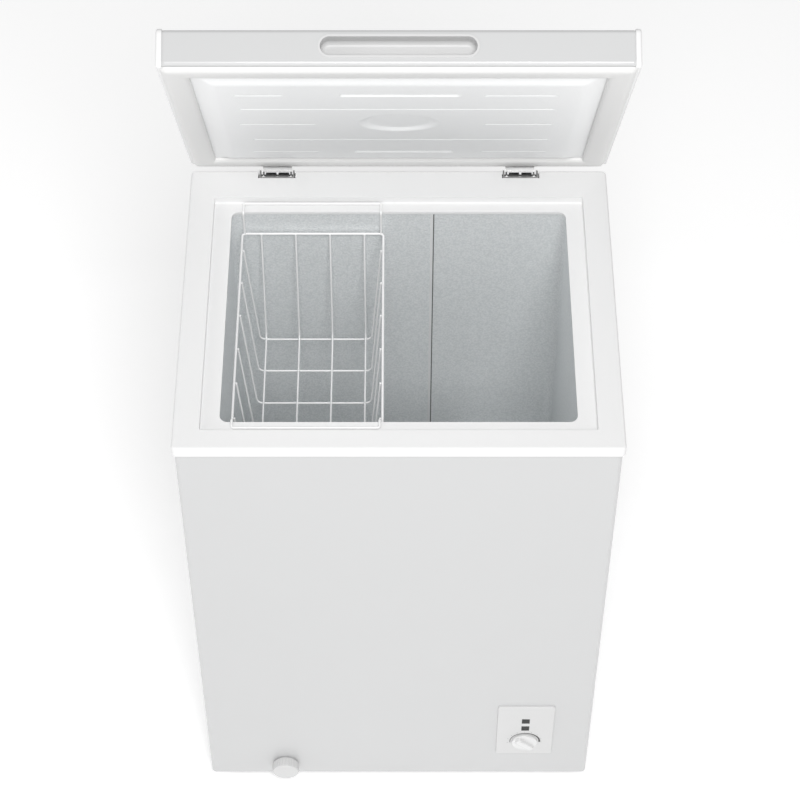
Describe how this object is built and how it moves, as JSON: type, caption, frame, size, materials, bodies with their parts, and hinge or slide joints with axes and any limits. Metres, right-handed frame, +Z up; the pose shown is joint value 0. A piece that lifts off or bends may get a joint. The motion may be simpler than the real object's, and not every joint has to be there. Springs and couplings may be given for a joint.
{
  "type": "chest freezer",
  "caption": "Small free-standing chest freezer with a hinged lid, an aluminium tank, a sliding wire basket, a thermostat knob and a drain outlet.",
  "frame": {"origin": "on the floor under the middle of the cabinet", "axes": "+Z up, -Y out of the front with the controls, +X to the right as seen from the front; the rest pose has the lid open 59 degrees"},
  "size_m": [0.55, 0.528, 1.2014],
  "materials": {
    "white_enamel": "gloss",
    "white_plastic": "satin",
    "lid_liner": "satin",
    "panel_plastic": "satin",
    "knob_plastic": "gloss",
    "gasket_vinyl": "satin",
    "tank_aluminium": "satin",
    "tube_aluminium": "satin",
    "tube_copper": "satin",
    "tube_steel": "satin",
    "foam_cream": "matte",
    "zinc_steel": "satin",
    "screw_steel": "satin",
    "spring_steel": "satin",
    "basket_wire": "gloss",
    "compressor_black": "satin",
    "black_plastic": "matte",
    "lamp_window": "gloss",
    "grey_plastic": "matte",
    "foot_rubber": "matte",
    "wire_jacket": "matte"
  },
  "bodies": {
    "root": {"back_panel": "zinc_steel", "base_pan": "zinc_steel", "bracket_screws": "screw_steel", "cabinet_foam": "foam_cream", "compartment_partition": "zinc_steel", "compressor": "compressor_black", "compressor_grommets": "foot_rubber", "compressor_mount": "zinc_steel", "condenser_coil": "tube_steel", "control_panel": "panel_plastic", "cord_gland": "black_plastic", "discharge_line": "tube_copper", "drain_collar": "panel_plastic", "drain_pipe": "grey_plastic", "drier_line": "tube_copper", "evaporator_coil": "tube_aluminium", "feet": "foot_rubber", "filter_drier": "tube_copper", "foot_screws": "screw_steel", "grille_screws": "screw_steel", "hinge_bracket_left": "zinc_steel", "hinge_bracket_right": "zinc_steel", "hinge_pins": "spring_steel", "hinge_springs": "spring_steel", "lamp_holder": "grey_plastic", "liner_seam_strip": "tank_aluminium", "outer_shell": "white_enamel", "power_lamp": "lamp_window", "rear_grille": "black_plastic", "relay_box": "black_plastic", "run_lamp": "lamp_window", "sensor_tube": "tube_copper", "suction_line": "tube_copper", "tank_liner": "tank_aluminium", "thermostat": "grey_plastic", "thermostat_bracket": "zinc_steel", "top_frame": "white_plastic", "wiring_harness": "wire_jacket"},
    "lid": {"handle_cup": "white_plastic", "hinge_leaf_left": "zinc_steel", "hinge_leaf_right": "zinc_steel", "leaf_screws": "screw_steel", "lid_end_left": "white_plastic", "lid_end_right": "white_plastic", "lid_foam": "foam_cream", "lid_gasket": "gasket_vinyl", "lid_inner_panel": "lid_liner", "lid_skin": "white_enamel"},
    "basket": {"basket_cross_wires": "basket_wire", "basket_hangers": "basket_wire", "basket_long_wires": "basket_wire", "basket_ring": "basket_wire"},
    "knob": {"control_knob": "knob_plastic", "thermostat_shaft": "zinc_steel"},
    "drain_tube": {"drain_tube": "panel_plastic"},
    "drain_dial": {"drain_dial": "panel_plastic"},
    "tank_plug": {"tank_plug": "white_plastic"}
  },
  "joints": [
    {"name": "lid_hinge", "type": "hinge", "parent": "root", "child": "lid", "pos_m": [0, 0.23115, 0.772], "axis": [-1, 0, 0], "range_deg": [-59, 26]},
    {"name": "basket_slide", "type": "slide", "parent": "root", "child": "basket", "axis": [1, 0, 0], "range_m": [-0.004, 0.222]},
    {"name": "knob_turn", "type": "hinge", "parent": "root", "child": "knob", "pos_m": [0.1776, -0.23165, 0.1077], "axis": [0, -1, 0], "range_deg": [-120, 150]},
    {"name": "drain_pull", "type": "slide", "parent": "root", "child": "drain_tube", "axis": [0, -1, 0], "range_m": [0, 0.022]},
    {"name": "drain_turn", "type": "hinge", "parent": "drain_tube", "child": "drain_dial", "pos_m": [-0.1619, -0.23685, 0.0424], "axis": [0, -1, 0], "range_deg": [0, 180]},
    {"name": "plug_lift", "type": "slide", "parent": "root", "child": "tank_plug", "axis": [0, 0, 1], "range_m": [0, 0.06]}
  ]
}
